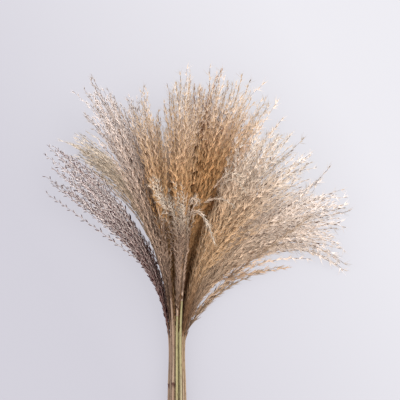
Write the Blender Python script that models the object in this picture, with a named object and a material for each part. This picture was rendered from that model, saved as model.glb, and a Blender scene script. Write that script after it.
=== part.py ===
"""A bunch of sixteen dried reeds, lying on a surface.

+Y runs from the cut stem ends to the plume tips, +Z points up from the surface, and the
origin is on the surface under the middle of the bunch. Each reed is a stem and a plume. The
stems lie close together at the waist, where the bunch is narrowest, and the plumes fan out
from there in four layers. A plume is a few tapering locks of side branches, grown together
at its foot.
"""

import math
import random
from dataclasses import dataclass

import bmesh
import bpy
import numpy as np
from mathutils import Vector

MM = 0.001

# Driving dimensions, in millimetres.
WAIST_X = -18.9  # the waist's place, which puts the middle of the bunch over the origin
WAIST_Y = -74.8
WAIST_Z = 11.0  # height of the lowest layer's stems at the waist
FAN_REACH = 310.0  # way along a reed, from the waist, over which its bend is spread
SLOT_PITCH = 3.9  # from stem to stem across the waist
LAYER_PITCH = 3.5  # from layer to layer at the waist
STEM_RADIUS = 1.5
STEM_TIP_RADIUS = 1.15  # where the stem meets the foot of its plume
KNOT_SWELL = 1.22  # a stem's joint, against the stem beside it
KNOT_SHARE = 0.06  # half its length, as a share of the way to the stem's next ring
BUTT_LENGTH = 150.0  # stem below the waist
BUTT_SPLAY = 0.45  # how much wider the stems stand at their cut ends than at the waist
BUTT_RISE = 0.12  # and how much higher
BUTT_UNEVENNESS = (-9.0, 5.0)  # how much shorter or longer a stem is cut
BUTT_LEAN = 0.7  # how far a cut end strays sideways
JOINT_GAP = 0.3  # between a stem and the foot of its plume
NEIGHBOUR_GAP = 0.8  # kept between the locks of two reeds
LEAST_RADIUS = 0.35  # of a lock that its neighbours leave no room
LOCK_RADIUS = 7.6
LOCK_FOOT_RADIUS = 1.9
LOCK_TIP_RADIUS = 0.9
LOCK_STEP = 7.0  # from one lock's foot to the next, up the plume
REST_HEIGHT = 3.4  # lowest a lock's middle line lies, so that its underside is pressed flat

# Degrees.
STEM_TILT = 3.6  # the stems rise this much from their cut ends to the waist
LOCK_LIFT = 3.4  # how far apart the upper and lower locks of a plume rise

BEND_START = 0.8  # bend law: see heading_at
BEND_EARLIER_PER = 36.0
LIFT_PEAK = 0.6  # lift law: see lift_at

LINE_STEPS = 48
STEM_SIDES = 8
BUTT_RINGS = 5
LOCK_SIDES = 6
LOCK_RINGS = 6
RING_SPACING = 0.85  # below 1, a lock's rings are closer together towards its tip


@dataclass(frozen=True)
class Reed:
    """One reed. heading, lift and spread are in degrees, length and foot in millimetres."""

    layer: int  # 0 lies on the surface
    heading: float  # which way the tip points, from straight ahead towards +X
    lift: float  # how steeply it rises from the waist
    length: float  # waist to tip
    spread: float  # half the fan of its own plume
    foot: float  # where the plume starts, from the waist
    plume: str  # colour of the plume
    stem: str  # colour of the stem


# From -X to +X in each layer, which is their order across the waist too, so no two cross.
REEDS = (
    Reed(0, -30, -5.0, 268, 5, 34, "olive", "brown"),
    Reed(0, -10, -4.5, 250, 14, 46, "gold", "straw"),
    Reed(0, 31, -5.0, 290, 14, 44, "gold", "green"),
    Reed(0, 68, -5.5, 240, 12, 26, "cream", "straw"),
    Reed(1, -49, 3.5, 260, 10, 30, "taupe", "brown"),
    Reed(1, -22, 4.5, 296, 6, 46, "rosy", "straw"),
    Reed(1, 13, 4.5, 298, 7, 52, "brown", "brown"),
    Reed(1, 21, 7.5, 300, 7, 50, "gold", "green"),
    Reed(1, 62, 3.5, 260, 14, 34, "cream", "straw"),
    Reed(2, -25.5, 12.0, 306, 5, 44, "rosy", "brown"),
    Reed(2, -16, 16.0, 290, 5, 54, "gold", "straw"),
    Reed(2, 2, 15.5, 298, 7, 52, "gold", "green"),
    Reed(2, 44, 12.0, 276, 12, 44, "blond", "straw"),
    Reed(3, -17, 24.5, 170, 4, 58, "silver", "brown"),
    Reed(3, 12, 27.5, 190, 3, 40, "silver", "green"),
    Reed(3, 15, 25.0, 168, 5, 58, "silver", "green"),
)

# A plume's locks: across and up as shares of its spread and lift, then reach as a share of its
# length.
LOCKS = (
    (0.0, 0.75, 1.0),
    (-0.55, -0.7, 0.97),
    (0.6, -0.6, 0.95),
    (-1.0, 0.45, 0.9),
    (1.0, 0.5, 0.88),
)
LOCK_UNEVENNESS = 0.04  # how much a lock's length strays
LOCK_DRIFT = 0.14  # how far it strays across and up, as shares too

PLUME_COLOURS = {
    "taupe": (0.33, 0.25, 0.22),
    "olive": (0.42, 0.34, 0.23),
    "rosy": (0.45, 0.34, 0.27),
    "brown": (0.38, 0.26, 0.18),
    "gold": (0.50, 0.37, 0.24),
    "blond": (0.56, 0.44, 0.32),
    "cream": (0.60, 0.49, 0.40),
    "silver": (0.52, 0.43, 0.35),
}
STEM_COLOURS = {
    "straw": (0.45, 0.35, 0.19),
    "green": (0.40, 0.38, 0.17),
    "brown": (0.27, 0.18, 0.11),
}


def clear_scene():
    for obj in list(bpy.data.objects):
        bpy.data.objects.remove(obj)


def material(name, colour, roughness):
    """A Principled material, made once for each name."""
    found = bpy.data.materials.get(name)
    if found:
        return found
    made = bpy.data.materials.new(name)
    made.use_nodes = True
    shader = made.node_tree.nodes["Principled BSDF"]
    shader.inputs["Base Color"].default_value = (*colour, 1.0)
    shader.inputs["Roughness"].default_value = roughness
    shader.inputs["Metallic"].default_value = 0.0
    return made


def heading_at(heading, share):
    """Heading at a share of FAN_REACH: a reed that ends further out also turns out sooner."""
    power = BEND_START + abs(heading) / BEND_EARLIER_PER
    return heading * (1.0 - (1.0 - min(share, 1.0)) ** power)


def lift_at(lift, share):
    """Steepness at a share of FAN_REACH: it grows from the waist, and the tip lies level."""
    share = min(share, 1.0)
    return STEM_TILT * (1.0 - share) + lift * math.sin(math.pi * share**LIFT_PEAK)


def slot_of(reed):
    """(across, up) of a reed's stem at the waist, in millimetres from its middle and height."""
    row = [other for other in REEDS if other.layer == reed.layer]
    across = (row.index(reed) - (len(row) - 1) / 2) * SLOT_PITCH
    return across, reed.layer * LAYER_PITCH


def fan_line(reed, heading, lift, reach):
    """Points from the waist to reach, in millimetres, every reach / LINE_STEPS."""
    across, up = slot_of(reed)
    here = np.array([WAIST_X + across, WAIST_Y, WAIST_Z + up])
    points = [here]
    step = reach / LINE_STEPS
    for i in range(LINE_STEPS):
        share = (i + 0.5) * step / FAN_REACH
        turn = math.radians(heading_at(heading, share))
        rise = math.radians(lift_at(lift, share))
        way = (math.sin(turn) * math.cos(rise), math.cos(turn) * math.cos(rise), math.sin(rise))
        here = here + step * np.array(way)
        points.append(here)
    line = np.array(points)
    line[:, 2] = np.maximum(line[:, 2], REST_HEIGHT)
    return line


def butt_line(reed, number):
    """Points of the stem from its cut end up to the waist, in millimetres."""
    across, up = slot_of(reed)
    uneven = random.Random(number)
    length = BUTT_LENGTH + uneven.uniform(*BUTT_UNEVENNESS)
    lean = uneven.uniform(-BUTT_LEAN, BUTT_LEAN)
    slope = math.tan(math.radians(STEM_TILT))
    points = []
    for share in np.linspace(1.0, 0.0, BUTT_RINGS):
        back = share * length
        x = WAIST_X + across * (1.0 + BUTT_SPLAY * share) + lean * share**2
        z = WAIST_Z - slope * back + up * (1.0 + BUTT_RISE * share)
        points.append((x, WAIST_Y - back, max(z, STEM_RADIUS)))
    return np.array(points)


def locks_of(reed, number):
    """The lines of a plume's locks, each cut at its foot and read at LOCK_RINGS + 1 places."""
    uneven = random.Random(100 + number)
    lines = []
    for i, (across, up, reach) in enumerate(LOCKS):
        heading = reed.heading + (across + uneven.uniform(-LOCK_DRIFT, LOCK_DRIFT)) * reed.spread
        lift = reed.lift + (up + uneven.uniform(-LOCK_DRIFT, LOCK_DRIFT)) * LOCK_LIFT
        full = reed.length * reach * (1.0 + uneven.uniform(-LOCK_UNEVENNESS, LOCK_UNEVENNESS))
        line = fan_line(reed, heading, lift, full)
        start = (reed.foot + i * LOCK_STEP) / full
        shares = start + (1.0 - start) * np.linspace(0.0, 1.0, LOCK_RINGS + 1) ** RING_SPACING
        lines.append(read_line(line, shares))
    return lines


def read_line(line, shares):
    """The points of an evenly stepped line at these shares of its length."""
    at = np.linspace(0.0, 1.0, len(line))
    return np.stack([np.interp(shares, at, line[:, k]) for k in range(3)], axis=1)


def lock_profile(count):
    """Radius at each ring of a lock with all the room it wants: thin foot, full middle, fine tip."""
    shares = np.linspace(0.0, 1.0, count)
    swell = np.sin(np.pi * shares**0.75) ** 0.8 * (LOCK_RADIUS - LOCK_TIP_RADIUS)
    return LOCK_FOOT_RADIUS * (1.0 - shares) + LOCK_TIP_RADIUS * shares + swell


def distance_to_line(point, line):
    """Shortest distance from a point to a line of straight pieces."""
    a, b = line[:-1], line[1:]
    along = np.clip(((point - a) * (b - a)).sum(1) / ((b - a) ** 2).sum(1), 0.0, 1.0)
    return np.linalg.norm(a + along[:, None] * (b - a) - point, axis=1).min()


def fitted_radii(line, others, stems):
    """A lock's radii: its own profile, held to the room that other reeds leave."""
    radii = lock_profile(len(line))
    for i, point in enumerate(line):
        room = min(distance_to_line(point, other) for other in others)
        clear = min(distance_to_line(point, stem) for stem in stems) - STEM_RADIUS
        radii[i] = max(min(radii[i], (room - NEIGHBOUR_GAP) / 2, clear - NEIGHBOUR_GAP), LEAST_RADIUS)
    return radii


def tube(name, line, radii, sides, pointed=False):
    """A closed tube mesh along a line, in metres, with a flat cap at each end or a pointed tip."""
    mesh = bmesh.new()
    rings = []
    for i, point in enumerate(line):
        ahead = line[min(i + 1, len(line) - 1)] - line[max(i - 1, 0)]
        ahead = Vector(ahead).normalized()
        side = ahead.cross(Vector((0.0, 0.0, 1.0))).normalized()
        up = side.cross(ahead)
        if pointed and i == len(line) - 1:
            rings.append([mesh.verts.new(Vector(point) * MM)])
            continue
        ring = []
        for k in range(sides):
            turn = 2.0 * math.pi * (k + 0.5) / sides
            offset = (math.cos(turn) * side + math.sin(turn) * up) * radii[i]
            ring.append(mesh.verts.new((Vector(point) + offset) * MM))
        rings.append(ring)
    for low, high in zip(rings, rings[1:]):
        for k in range(sides):
            corners = [low[k], low[(k + 1) % sides]]
            corners += [high[0]] if len(high) == 1 else [high[(k + 1) % sides], high[k]]
            mesh.faces.new(corners)
    mesh.faces.new(reversed(rings[0]))
    if len(rings[-1]) > 1:
        mesh.faces.new(rings[-1])
    bmesh.ops.recalc_face_normals(mesh, faces=mesh.faces)
    data = bpy.data.meshes.new(name)
    mesh.to_mesh(data)
    mesh.free()
    return data


def add_object(name, data, finish=None):
    obj = bpy.data.objects.new(name, data)
    bpy.context.scene.collection.objects.link(obj)
    if finish:
        data.materials.clear()
        data.materials.append(finish)
    return obj


def boolean(obj, tool, operation):
    """Joins or cuts obj with tool for good, and removes the tool."""
    step = obj.modifiers.new(operation.title(), "BOOLEAN")
    step.operation = operation
    step.solver = "EXACT"
    step.object = tool
    graph = bpy.context.evaluated_depsgraph_get()
    done = bpy.data.meshes.new_from_object(obj.evaluated_get(graph))
    obj.modifiers.clear()
    obj.data = done
    bpy.data.objects.remove(tool)


def floor_cutter():
    """A slab under the surface, which presses flat whatever would reach below it."""
    half, deep = 0.4, 0.03
    mesh = bmesh.new()
    bmesh.ops.create_cube(mesh, size=1.0)
    bmesh.ops.scale(mesh, vec=(2 * half, 2 * half, deep), verts=mesh.verts)
    bmesh.ops.translate(mesh, vec=(0.0, 0.0, -deep / 2), verts=mesh.verts)
    data = bpy.data.meshes.new("floor_cutter")
    mesh.to_mesh(data)
    mesh.free()
    return add_object("floor_cutter", data)


def add_stem(reed, number):
    """A round stem with one swollen joint, from its cut end to just short of its plume."""
    above = fan_line(reed, reed.heading, reed.lift, FAN_REACH)
    shares = np.linspace(0.0, (reed.foot - JOINT_GAP) / FAN_REACH, 4)
    line = np.concatenate([butt_line(reed, number)[:-1], read_line(above, shares)])
    radii = np.linspace(STEM_RADIUS, STEM_TIP_RADIUS, len(line))
    knot = 1 + number % 3
    lower = line[knot] + (line[knot - 1] - line[knot]) * KNOT_SHARE
    upper = line[knot] + (line[knot + 1] - line[knot]) * KNOT_SHARE
    plain = radii[knot]
    radii[knot] = plain * KNOT_SWELL
    line = np.insert(line, [knot, knot + 1], [lower, upper], axis=0)
    radii = np.insert(radii, [knot, knot + 1], plain)
    finish = material(reed.stem + "_stem", STEM_COLOURS[reed.stem], 0.5)
    obj = add_object(f"stem_{number:02d}", tube("stem", line, radii, STEM_SIDES), finish)
    obj.data.shade_smooth()
    obj.data.set_sharp_from_angle(angle=math.radians(50))


def add_plume(reed, number, lines, others, stems):
    """A plume: its locks joined into one solid, and pressed flat where it rests."""
    parts = []
    for i, line in enumerate(lines):
        radii = fitted_radii(line, others, stems)
        parts.append(add_object(f"lock_{i}", tube("lock", line, radii, LOCK_SIDES, pointed=True)))
    plume = parts[0]
    plume.name = f"plume_{number:02d}"
    for part in parts[1:]:
        boolean(plume, part, "UNION")
    if min(vertex.co.z for vertex in plume.data.vertices) < 0.0:
        boolean(plume, floor_cutter(), "DIFFERENCE")
    plume.data.materials.clear()
    plume.data.materials.append(material(reed.plume + "_plume", PLUME_COLOURS[reed.plume], 0.85))


def stem_lines():
    """The straight-through line of every stem, cut end to plume foot."""
    found = []
    for number, reed in enumerate(REEDS, 1):
        above = fan_line(reed, reed.heading, reed.lift, FAN_REACH)
        shares = np.linspace(0.0, reed.foot / FAN_REACH, 6)
        found.append(np.concatenate([butt_line(reed, number)[:-1], read_line(above, shares)]))
    return found


def build():
    clear_scene()
    stems = stem_lines()
    plumes = [locks_of(reed, number) for number, reed in enumerate(REEDS, 1)]
    for number, reed in enumerate(REEDS, 1):
        add_stem(reed, number)
        others = [line for i, p in enumerate(plumes, 1) if i != number for line in p]
        rest = [line for i, line in enumerate(stems, 1) if i != number]
        add_plume(reed, number, plumes[number - 1], others, rest)


build()
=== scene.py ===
"""The looks of a bunch of dried reeds, lying on a pale surface and seen from straight above.

A reed is a stem and a plume. A plume is an axis with a few dozen racemes, which are its side
branches, and a raceme carries a spikelet every few millimetres: a small seed with a tuft of
silk. Sizes are in millimetres and angles in degrees, until a mesh is made in metres. +Y runs
from the cut stem ends to the plume tips, and +Z points up.
"""

import logging
import math
import random
from dataclasses import dataclass, replace
from enum import Enum
from typing import Any

import bmesh
import bpy
import numpy as np
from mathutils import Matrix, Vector


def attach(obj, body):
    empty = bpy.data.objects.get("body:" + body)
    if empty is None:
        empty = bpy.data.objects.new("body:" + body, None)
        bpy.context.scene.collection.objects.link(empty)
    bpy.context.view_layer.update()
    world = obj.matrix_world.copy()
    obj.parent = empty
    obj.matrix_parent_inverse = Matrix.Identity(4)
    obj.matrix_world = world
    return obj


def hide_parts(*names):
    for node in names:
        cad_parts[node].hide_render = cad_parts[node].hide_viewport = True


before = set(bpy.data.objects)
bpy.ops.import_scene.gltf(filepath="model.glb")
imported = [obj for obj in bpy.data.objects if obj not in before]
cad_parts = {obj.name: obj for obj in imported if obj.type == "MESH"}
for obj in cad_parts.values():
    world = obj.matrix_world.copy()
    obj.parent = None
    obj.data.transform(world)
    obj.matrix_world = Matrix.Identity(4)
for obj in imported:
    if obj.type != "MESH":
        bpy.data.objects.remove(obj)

LOG = logging.getLogger("bunch_of_reeds")
MM = 0.001
BODY = "root"
CLEARANCE = 0.15  # between the surface and the lowest hair
COLOUR_MAP = "OFBake"  # the map that every piece's colours are read from

Colour = tuple[float, float, float]
Place = tuple[float, float, float]


class Tone(Enum):
    """The colours that the plumes come in."""

    TAUPE = "taupe_plume"
    OLIVE = "olive_plume"
    ROSY = "rosy_plume"
    BROWN = "brown_plume"
    GOLD = "gold_plume"
    BLOND = "blond_plume"
    CREAM = "cream_plume"
    SILVER = "silver_plume"


class StemTone(Enum):
    """The colours that the stems come in."""

    STRAW = "straw_stem"
    GREEN = "green_stem"
    BROWN = "brown_stem"


class Part(Enum):
    """What a face of a plume is. The value is its band on the plume's map, from low to high."""

    BRANCH = (0.02, 0.18)
    SEED = (0.22, 0.58)
    SILK = (0.62, 0.98)


@dataclass(frozen=True)
class Reed:
    """One reed of the bunch, as the solids have it.

    Heading, lift and spread are in degrees, length and foot in millimetres.
    """

    layer: int
    heading: float
    lift: float
    length: float
    spread: float
    foot: float
    tone: Tone
    stem: StemTone


REEDS: tuple[Reed, ...] = (
    Reed(0, -30, -5.0, 268, 5, 34, Tone.OLIVE, StemTone.BROWN),
    Reed(0, -10, -4.5, 250, 14, 46, Tone.GOLD, StemTone.STRAW),
    Reed(0, 31, -5.0, 290, 14, 44, Tone.GOLD, StemTone.GREEN),
    Reed(0, 68, -5.5, 240, 12, 26, Tone.CREAM, StemTone.STRAW),
    Reed(1, -49, 3.5, 260, 10, 30, Tone.TAUPE, StemTone.BROWN),
    Reed(1, -22, 4.5, 296, 6, 46, Tone.ROSY, StemTone.STRAW),
    Reed(1, 13, 4.5, 298, 7, 52, Tone.BROWN, StemTone.BROWN),
    Reed(1, 21, 7.5, 300, 7, 50, Tone.GOLD, StemTone.GREEN),
    Reed(1, 62, 3.5, 260, 14, 34, Tone.CREAM, StemTone.STRAW),
    Reed(2, -25.5, 12.0, 306, 5, 44, Tone.ROSY, StemTone.BROWN),
    Reed(2, -16, 16.0, 290, 5, 54, Tone.GOLD, StemTone.STRAW),
    Reed(2, 2, 15.5, 298, 7, 52, Tone.GOLD, StemTone.GREEN),
    Reed(2, 44, 12.0, 276, 12, 44, Tone.BLOND, StemTone.STRAW),
    Reed(3, -17, 24.5, 170, 4, 58, Tone.SILVER, StemTone.BROWN),
    Reed(3, 12, 27.5, 190, 3, 40, Tone.SILVER, StemTone.GREEN),
    Reed(3, 15, 25.0, 168, 5, 58, Tone.SILVER, StemTone.GREEN),
)


@dataclass(frozen=True)
class Fan:
    """The law that lays out the reeds, the same one that the solids follow."""

    waist: Place = (-18.9, -74.8, 11.0)  # where the stems of the lowest layer are closest together
    reach: float = 310.0  # how far beyond the waist a reed goes on bending
    slot_pitch: float = 3.9  # from stem to stem across the waist
    layer_pitch: float = 3.5  # from layer to layer
    stem_tilt: float = 3.6  # how steeply the stems rise from their cut ends to the waist
    lock_lift: float = 3.4  # how far apart the upper and the lower locks of a solid plume rise
    bend_start: float = 0.8  # the power of the bend's law, for a reed that points straight ahead
    bend_earlier_per: float = 36.0  # the heading that adds 1 to it: an outer reed turns out sooner
    lift_peak: float = 0.6  # below 1, a reed is steepest nearer the waist than its tip
    steps: int = 48  # in a line

    def slot_of(self, reed: Reed) -> tuple[float, float]:
        """Gives a stem's place in the waist.

        Args:
            reed: The reed whose stem is meant.

        Returns:
            How far it stands across and up from the waist's middle.
        """
        row = [other for other in REEDS if other.layer == reed.layer]
        across = (row.index(reed) - (len(row) - 1) / 2) * self.slot_pitch
        return across, reed.layer * self.layer_pitch

    def lines(self, reed: Reed, headings: np.ndarray, lifts: np.ndarray, reaches: np.ndarray) -> np.ndarray:
        """Gives lines that leave the waist from a reed's slot and fan out.

        Args:
            reed: The reed that the lines start from.
            headings: Where each line's tip points.
            lifts: How steeply each line rises.
            reaches: Each line's length.

        Returns:
            The lines' points, as an array of lines by steps + 1 by 3.
        """
        across, up = self.slot_of(reed)
        step = reaches / self.steps
        share = (np.arange(self.steps)[None, :] + 0.5) * step[:, None] / self.reach
        share = np.minimum(share, 1.0)
        power = self.bend_start + np.abs(headings)[:, None] / self.bend_earlier_per
        turn = np.radians(headings[:, None] * (1.0 - (1.0 - share) ** power))
        rise = self.stem_tilt * (1.0 - share)
        rise = np.radians(rise + lifts[:, None] * np.sin(np.pi * share**self.lift_peak))
        way = np.stack([np.sin(turn) * np.cos(rise), np.cos(turn) * np.cos(rise), np.sin(rise)], 2)
        start = np.array([self.waist[0] + across, self.waist[1], self.waist[2] + up])
        run = np.cumsum(way * step[:, None, None], axis=1)
        return start + np.concatenate([np.zeros((len(headings), 1, 3)), run], axis=1)


FAN = Fan()


@dataclass(frozen=True)
class Stray:
    """A raceme that stands apart from its plume, given by three places on its line.

    A place is how far to the right of the waist, how far beyond it and how high above the surface.
    """

    foot: Place
    middle: Place
    tip: Place
    shares: tuple[float, float] = (0.45, 1.0)  # of a plume's length, that its foot and tip are coloured as


@dataclass(frozen=True)
class Habit:
    """How the racemes of a plume stand, and how silky they are."""

    racemes: int = 90
    locks: int = 7  # that the racemes are gathered in
    lock_reach: float = 0.14  # by how much one lock may be shorter than another
    spread: float = 1.1  # of the racemes, as a share of the reed's own spread
    rise: float = 1.3  # of the racemes, as a share of the fan's lock_lift
    reach: float = 1.0  # of the longest raceme, as a share of the reed's length
    shortest: float = 0.7  # of the racemes' reaches, as a share of the longest one
    lowest_start: float = 0.15  # where the first raceme leaves, as a share of the reed's foot
    starts: float = 0.55  # how far up the plume the last raceme leaves its axis
    leave: tuple[float, float] = (0.25, 0.9)  # how late a raceme drifts off the axis
    branch_radius: tuple[float, float] = (0.22, 0.46)  # of the thinnest and the thickest raceme
    node_gap: float = 6.4  # between two spikelets
    seed_length: float = 4.6
    seed_width: float = 0.9
    seed_tilt: float = 18.0
    hairs: int = 5  # in a tuft
    silk_length: float = 11.0
    silk_width: float = 0.36
    silk_tilt: float = 12.0
    silk_spread: float = 13.0
    roll: float = 0.7  # how unevenly the spikelets stand to the left and the right, in radians
    late: float = 0.0  # how much farther out a raceme on the far left starts
    dark_and_shaded_foot: float = 1.0  # above 1, the plume stays dark farther up: partly its own darker foot, partly painted shade where its racemes crowd together
    hang: float = 0.0  # how far the tips all hang to the right, or to the left where it is less than 0
    close: float = 0.0  # how far the tips on the far right bend back to the left
    curl: float = 9.0  # how far a raceme's tip strays sideways
    wave: float = 2.4  # how far a raceme waves from side to side
    droop: float = 5.0
    strays: tuple[Stray, ...] = ()


DASHED = Habit(
    racemes=50, node_gap=4.6, seed_tilt=30.0, seed_length=6.2, seed_width=1.4, hairs=4, silk_length=8.5,
    silk_width=0.42, silk_tilt=20.0, silk_spread=20.0, roll=0.35, curl=6.0)
DOTTED = Habit(
    racemes=76, node_gap=5.6, seed_tilt=22.0, seed_length=5.6, seed_width=1.3, silk_length=10.0,
    silk_width=0.58, silk_tilt=14.0, roll=0.4, curl=6.0)
SMOOTH = Habit(
    seed_tilt=6.0, seed_length=7.0, seed_width=1.0, silk_width=0.62, silk_tilt=5.0, silk_spread=10.0,
    wave=1.2, curl=6.0)
SILKY = Habit(
    seed_tilt=10.0, seed_length=7.0, seed_width=1.25, silk_length=12.5, silk_width=0.76, silk_tilt=20.0,
    silk_spread=25.0, wave=3.6, curl=14.0)
FOXTAIL = Habit(
    racemes=22, locks=5, seed_tilt=20.0, silk_length=9.0, silk_width=0.5, silk_tilt=28.0, silk_spread=24.0,
    lowest_start=1.2, starts=0.8, shortest=0.7, seed_width=1.4, curl=5.0, wave=1.2, node_gap=4.4)

# By the plume's number.
HABITS: dict[int, Habit] = {
    1: replace(SMOOTH, racemes=84, spread=0.5, curl=4.0, hang=-33.0, shortest=0.8, leave=(0.15, 0.6)),
    2: replace(SMOOTH, racemes=110, silk_width=1.1, leave=(0.15, 0.6)),
    3: replace(SILKY, silk_width=1.2, leave=(0.15, 0.6), strays=(
        Stray((56, 205, 34), (75, 236, 34), (95, 269, 30), (0.6, 1.0)),
        Stray((60, 204, 34), (79, 234, 34), (98, 264, 30), (0.6, 1.0)),
        Stray((56, 212, 34), (73, 238, 34), (91, 263, 30), (0.6, 1.0)),
    )),
    4: replace(SILKY, racemes=72, silk_width=1.0, leave=(0.15, 0.6), strays=(
        Stray((10, 19, 9), (52, 65, 14), (112, 90, 12), (0.2, 0.55)),
        Stray((11, 22, 8), (50, 67, 12), (98, 88, 11), (0.2, 0.5)),
        Stray((10, 20, 8), (38, 54, 10), (68, 74, 9), (0.2, 0.5)),
        Stray((12, 28, 9), (49, 70, 14), (104, 107, 15), (0.2, 0.6)),
        Stray((16, 41, 12), (48, 78, 20), (90, 109, 18), (0.2, 0.6)),
        Stray((25, 47, 8), (62, 77, 10), (98, 96, 9), (0.2, 0.55)),
        Stray((34, 73, 20), (79, 82.5, 22), (120, 89, 16), (0.15, 0.4)),
        Stray((49, 74, 20), (92, 107, 50), (142, 144, 44), (0.15, 0.5)),
        Stray((85, 112, 14), (134, 111, 18), (183, 86, 9), (0.5, 1.0)),
        Stray((82, 114, 14), (134, 117, 20), (184, 92, 12), (0.5, 1.0)),
        Stray((90, 113, 12), (138, 108, 14), (181, 86, 6), (0.5, 1.0)),
        Stray((80, 116, 12), (132, 121, 18), (174, 101, 10), (0.5, 1.0)),
        Stray((92, 120, 14), (142, 124, 20), (182, 108, 12), (0.5, 1.0)),
        Stray((86, 112, 10), (132, 110, 12), (170, 94, 6), (0.5, 1.0)),
        Stray((95, 116, 10), (140, 115, 14), (178, 94, 7), (0.5, 1.0)),
        Stray((88, 122, 14), (136, 127, 20), (176, 114, 12), (0.5, 1.0)),
        Stray((90, 124, 14), (134, 131, 22), (170, 122, 14), (0.5, 1.0)),
    )),
    5: replace(DASHED, racemes=52, spread=0.88, reach=1.04, leave=(0.0, 0.25), late=90.0, hang=-1.0,
               close=23.0, strays=(
        Stray((-20, 78, 18), (-67, 117, 28), (-140, 169, 22)),
        Stray((-19, 76, 18), (-63, 122, 30), (-135, 180, 24)),
        Stray((-18, 80, 18), (-64, 130, 30), (-142, 188, 24)),
        Stray((-16, 66, 16), (-58, 136, 30), (-122, 198, 24)),
        Stray((-13, 54, 16), (-60, 142, 30), (-132, 220, 24)),
        Stray((-8, 25, 13), (-22, 84, 18), (-40, 120, 22), (0.25, 0.5)),
        Stray((-7, 28, 13), (-20, 84, 20), (-36, 120, 24), (0.2, 0.45)),
        Stray((-8, 32, 13), (-19, 84, 18), (-33, 114, 22), (0.2, 0.4)),
        Stray((-8, 34, 14), (-25, 92, 20), (-46, 127, 24), (0.25, 0.5)),
        Stray((-8, 40, 14), (-27, 98, 20), (-52, 135, 24), (0.25, 0.55)),
        Stray((-8, 30, 13), (-18, 78, 18), (-30, 106, 22), (0.25, 0.45)),
        Stray((-8, 22, 13), (-16, 68, 18), (-27, 98, 20), (0.2, 0.4)),
        Stray((-7, 60, 15), (-34, 120, 26), (-72, 162, 28), (0.25, 0.6)),
        Stray((-8, 28, 14), (-21, 76, 20), (-42, 112, 24), (0.25, 0.45)),
        Stray((-9, 36, 14), (-24, 90, 21), (-44, 122, 25), (0.2, 0.45)),
        Stray((-9, 42, 15), (-28, 99, 22), (-54, 134, 26), (0.25, 0.5)),
        Stray((-8, 38, 14), (-23, 92, 21), (-38, 118, 25), (0.2, 0.4)),
    )),
    6: replace(DOTTED, reach=1.03),
    # its foot stays dark far up: painted shade of the deep valley it lies in
    7: replace(SILKY, reach=1.04, silk_width=0.6, wave=2.4, curl=9.0, dark_and_shaded_foot=1.7),
    8: replace(SILKY, reach=1.06, dark_and_shaded_foot=1.3, strays=(
        Stray((59, 257, 34), (65, 277, 34), (71, 299, 32), (0.8, 1.0)),
        Stray((52, 240, 34), (58, 262, 34), (64, 288, 30), (0.8, 1.0)),
        Stray((50, 246, 34), (55, 266, 34), (60, 286, 30), (0.8, 1.0)),
    )),
    9: replace(SILKY, spread=1.0, silk_width=0.8, hang=6.0),
    10: replace(DOTTED, spread=0.85, hang=-8.0, reach=1.04),
    11: DOTTED,
    12: replace(SILKY, reach=1.04, silk_width=0.6, wave=2.4, curl=9.0),
    13: replace(SILKY, racemes=95, spread=1.0, leave=(0.15, 0.6)),
    14: replace(FOXTAIL, racemes=16, spread=0.7, lowest_start=0.8, dark_and_shaded_foot=2.2, silk_width=0.6, strays=(
        Stray((-8, 148, 84), (-17, 168, 94), (-26, 184, 98), (0.8, 1.0)),
        Stray((-9, 150, 86), (-19, 170, 95), (-25, 188, 95), (0.8, 1.0)),
        Stray((-7, 146, 86), (-16, 164, 95), (-28, 178, 92), (0.8, 1.0)),
        Stray((-9, 152, 88), (-17, 171, 97), (-22, 187, 95), (0.8, 1.0)),
        Stray((-7, 150, 88), (-14, 168, 97), (-19, 182, 95), (0.8, 1.0)),
        Stray((-3, 150, 84), (-10, 161, 92), (-20, 165, 92), (0.8, 1.0)),
        Stray((-2, 152, 84), (-7, 163, 92), (-15, 162, 92), (0.8, 1.0)),
        Stray((-3, 148, 84), (-9, 157, 92), (-17, 158, 92), (0.8, 1.0)),
    )),
    15: replace(
        FOXTAIL, racemes=24, hang=-12.0, lowest_start=0.8, reach=1.06, node_gap=3.6, silk_tilt=26.0,
        silk_spread=20.0, seed_tilt=26.0, seed_length=5.6, dark_and_shaded_foot=1.2),
    16: replace(
        FOXTAIL, racemes=10, spread=0.7, lowest_start=0.9, silk_length=8.0, silk_width=0.6, silk_tilt=14.0,
        silk_spread=16.0, node_gap=3.4, dark_and_shaded_foot=1.6, strays=(
            Stray((10, 145, 86), (26, 149, 98), (40, 119, 88), (0.7, 0.95)),
            Stray((11, 144, 85), (26, 147, 96), (39, 121, 86), (0.7, 0.95)),
            Stray((13, 152, 84), (19, 165, 94), (26, 158, 90), (0.7, 0.9)),
            Stray((12, 148, 84), (15, 158, 93), (21, 166, 91), (0.7, 0.9)),
            Stray((14, 150, 84), (20, 157, 93), (23, 162, 91), (0.7, 0.9)),
            Stray((12, 155, 86), (17, 164, 95), (20, 160, 92), (0.7, 0.9)),
            Stray((24, 157, 90), (44, 164, 97), (61, 156, 92), (0.7, 0.9)),
            Stray((38, 172, 86), (56, 190, 95), (74, 180, 90), (0.7, 0.95)),
            Stray((42, 170, 86), (58, 184, 94), (72, 172, 88), (0.7, 0.95)),
        )),
}


@dataclass(frozen=True)
class PlumeColours:
    """The colours of a plume: its dark and pale seeds, its branches, and its silk from foot to tip."""

    seed: Colour
    husk: Colour
    branch: Colour
    # darker than the middle: partly the silk's own brown, partly painted shade of the crowded base
    silk_foot: Colour
    silk_middle: Colour
    silk_tip: Colour
    pale_from: float  # where the silk starts to turn pale, as a share of the plume's length
    pale_to: float
    dark_seeds: float  # the share of the seeds that are dark
    painted_glow: float  # how brightly the pale silk glows: painted light that stands in for light from behind the thin silk


# the last number of each tone is the strength of its pale silk's painted glow
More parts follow.
